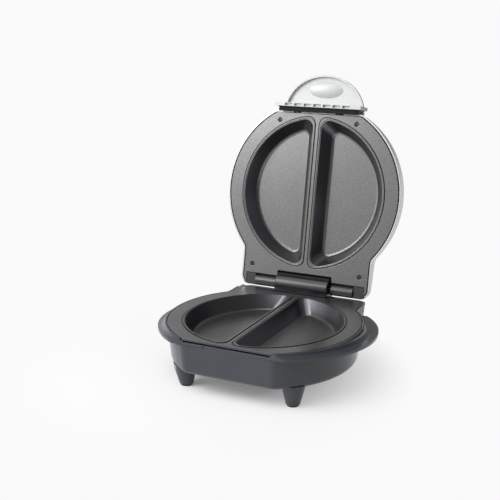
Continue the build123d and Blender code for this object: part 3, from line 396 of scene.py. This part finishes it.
def dressNodes():
    # what isn't named above is a screw
    finishOf = {node: finish for finish, group in wearers.items() for node in group}
    for node in nodes:
        slots = nodes[node].data.materials
        slots.clear()
        slots.append(finishes[finishOf.get(node, "screw")])


dressNodes()
print("finishes given to", len(nodes), "nodes")

# screws with a cross recess, from one tree; sizes in metres, and a head's face is at the low end of its axis
screws = {
    "upper_plate_screws": {
        "name": "upperPlateScrews", "body": "lid", "finish": "plateScrew",
        "axis": lidOutward, "sunk": 0.0008,
        "Face Radius": 0.0019, "Neck Radius": 0.0014, "Head Height": 0.0011,
        "Shank Radius": 0.0013, "Shank Length": 0.0085,
    },
    "lower_plate_screws": {
        "name": "lowerPlateScrews", "body": "base", "finish": "screw",
        "axis": (0, 0, 1), "sunk": 0,
        "Face Radius": 0.0021, "Neck Radius": 0.0027, "Head Height": 0.0015,
        "Shank Radius": 0.0014, "Shank Length": 0.0090,
    },
    "bottom_cover_screws": {
        "name": "bottomCoverScrews", "body": "base", "finish": "screw",
        "axis": (0, 0, 1), "sunk": 0,
        "Face Radius": 0.0020, "Neck Radius": 0.0026, "Head Height": 0.0014,
        "Shank Radius": 0.00125, "Shank Length": 0.0060,
    },
}
recess = {
    "Recess Width": 0.0010, "Recess Depth": 0.0009,
    "span": 1.3,                       # the cross's width in face radii
}


def addTreeInputs(tree, sizes):
    face = tree.interface
    face.new_socket(name="Geometry", in_out="INPUT", socket_type="NodeSocketGeometry")
    for label, value in sizes.items():
        socket = face.new_socket(name=label, in_out="INPUT", socket_type="NodeSocketFloat")
        socket.default_value = value
    face.new_socket(name="Material", in_out="INPUT", socket_type="NodeSocketMaterial")
    face.new_socket(name="Geometry", in_out="OUTPUT", socket_type="NodeSocketGeometry")
    return addNode(tree, "NodeGroupInput").outputs


def makeScrewTree():
    tree = bpy.data.node_groups.new("crossRecessScrews", "GeometryNodeTree")
    usual = {**screws["bottom_cover_screws"], **recess}
    given = addTreeInputs(tree, {label: value for label, value in usual.items() if label[0].isupper()})
    head = addNode(tree, "GeometryNodeMeshCone", {"Vertices": 28, "Radius Bottom": given["Face Radius"],
                                                  "Radius Top": given["Neck Radius"],
                                                  "Depth": given["Head Height"]})
    shank = addNode(tree, "GeometryNodeMeshCylinder", {"Vertices": 16, "Radius": given["Shank Radius"],
                                                       "Depth": given["Shank Length"]})
    half = addNode(tree, "ShaderNodeMath", {0: given["Shank Length"], 1: 0.5}, operation="MULTIPLY")
    middle = addNode(tree, "ShaderNodeMath", {0: half.outputs[0], 1: given["Head Height"]}, operation="ADD")
    lift = addNode(tree, "ShaderNodeCombineXYZ", {"Z": middle.outputs[0]})
    placed = addNode(tree, "GeometryNodeTransform", {"Geometry": shank.outputs["Mesh"],
                                                     "Translation": lift.outputs[0]})
    shape = addNode(tree, "GeometryNodeMeshBoolean", {1: head.outputs["Mesh"]},
                    operation="UNION", solver="EXACT")
    tree.links.new(placed.outputs[0], shape.inputs[1])
    # each bar is cut with its middle on the head's face, so it is twice as deep as the recess
    depth = addNode(tree, "ShaderNodeMath", {0: given["Recess Depth"], 1: 2.0}, operation="MULTIPLY")
    length = addNode(tree, "ShaderNodeMath", {0: given["Face Radius"], 1: recess["span"]},
                     operation="MULTIPLY")
    for along, across in (("X", "Y"), ("Y", "X")):
        size = addNode(tree, "ShaderNodeCombineXYZ", {along: length.outputs[0],
                                                      across: given["Recess Width"],
                                                      "Z": depth.outputs[0]})
        bar = addNode(tree, "GeometryNodeMeshCube", {"Size": size.outputs[0]})
        shape = addNode(tree, "GeometryNodeMeshBoolean", {0: shape.outputs["Mesh"], 1: bar.outputs["Mesh"]},
                        operation="DIFFERENCE", solver="EXACT")
    axis = addNode(tree, "GeometryNodeInputNamedAttribute", {"Name": "axis"}, data_type="FLOAT_VECTOR")
    turn = addNode(tree, "FunctionNodeAlignRotationToVector", {"Vector": axis.outputs[0]}, axis="Z")
    copies = addNode(tree, "GeometryNodeInstanceOnPoints", {"Points": given["Geometry"],
                                                            "Instance": shape.outputs["Mesh"],
                                                            "Rotation": turn.outputs[0]})
    real = addNode(tree, "GeometryNodeRealizeInstances", {0: copies.outputs[0]})
    made = addNode(tree, "GeometryNodeSetMaterial", {"Geometry": real.outputs[0],
                                                     "Material": given["Material"]})
    addNode(tree, "NodeGroupOutput", {"Geometry": made.outputs[0]})
    return tree


def islandsOf(node):
    # the separate solids of a CAD node, as lists of points
    mesh = nodes[node].data
    keys, owner = {}, []
    for vertex in mesh.vertices:
        key = tuple(round(value, 6) for value in vertex.co)
        keys.setdefault(key, len(keys))
        owner.append(keys[key])
    root = list(range(len(keys)))

    def find(index):
        while root[index] != index:
            root[index] = root[root[index]]
            index = root[index]
        return index

    for edge in mesh.edges:
        first, second = [find(owner[vertex]) for vertex in edge.vertices]
        root[first] = second
    groups = {}
    for key, index in keys.items():
        groups.setdefault(find(index), []).append(Vector(key))
    return list(groups.values())


def facePoint(points, axis, sunk):
    # the middle of a solid's face at the low end of its axis, or a little further in
    low, high = [Vector([pick(point[i] for point in points) for i in range(3)]) for pick in (min, max)]
    centre = (low + high) / 2
    return centre + axis * (min(point.dot(axis) for point in points) + sunk - centre.dot(axis))


def axisPoints(name, places, axis):
    mesh = bpy.data.meshes.new(name)
    mesh.from_pydata(places, [], [])
    mesh.attributes.new("axis", "FLOAT_VECTOR", "POINT").data.foreach_set("vector", list(axis) * len(places))
    return mesh


def bakeTree(name, mesh, tree, values, material):
    item = addObject(name, mesh)
    modifier = item.modifiers.new(tree.name, "NODES")
    modifier.node_group = tree
    chosen = {**values, "Material": material}
    for socket in tree.interface.items_tree:
        if socket.in_out == "INPUT" and socket.name in chosen:
            modifier[socket.identifier] = chosen[socket.name]
    shaped = item.evaluated_get(bpy.context.evaluated_depsgraph_get())
    item.data = bpy.data.meshes.new_from_object(shaped)
    item.modifiers.remove(item.modifiers[0])
    item.data.materials.clear()
    item.data.materials.append(material)
    for face in item.data.polygons:
        face.material_index = 0
    return item


def makeScrews(tree, node, values):
    axis = Vector(values["axis"])
    places = [facePoint(points, axis, values["sunk"]) for points in islandsOf(node)]
    mesh = axisPoints(values["name"] + "Points", places, axis)
    piece = bakeTree(values["name"], mesh, tree, values, finishes[values["finish"]])
    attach(piece, values["body"])
    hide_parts(node)


screwTree = makeScrewTree()
for node, values in screws.items():
    makeScrews(screwTree, node, values)
print("screws made:", ", ".join(screws))

# the lid's cover: its own CAD shape, with the normal put right where thin triangles meet at the crown
cover = {
    "node": "lid_cover", "body": "lid", "axis": lidOutward,
    "crownReach": 0.00001, "mergeReach": 0.000001,          # metres
}


def makeCover(values):
    mesh = nodes[values["node"]].data.copy()
    axis = Vector(values["axis"])
    crown = max(mesh.vertices, key=lambda vertex: vertex.co.dot(axis)).co.copy()
    normals = []
    for corner, normal in zip(mesh.loops, mesh.corner_normals):
        atCrown = (mesh.vertices[corner.vertex_index].co - crown).length < values["crownReach"]
        normals.extend(axis if atCrown else normal.vector)
    # the wanted normals pass through the merge as an attribute
    mesh.attributes.new("wanted", "FLOAT_VECTOR", "CORNER").data.foreach_set("vector", normals)
    shape = bmesh.new()
    shape.from_mesh(mesh)
    bmesh.ops.remove_doubles(shape, verts=shape.verts, dist=values["mergeReach"])
    shape.to_mesh(mesh)
    shape.free()
    wanted = mesh.attributes["wanted"]
    kept = [tuple(item.vector) for item in wanted.data]
    mesh.attributes.remove(wanted)
    mesh.normals_split_custom_set(kept)
    piece = addObject("lidCoverShell", mesh)
    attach(piece, values["body"])
    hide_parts(values["node"])


makeCover(cover)
print("lid cover made")

scene = bpy.context.scene
scene.view_settings.view_transform = "Standard"
bpy.context.view_layer.update()
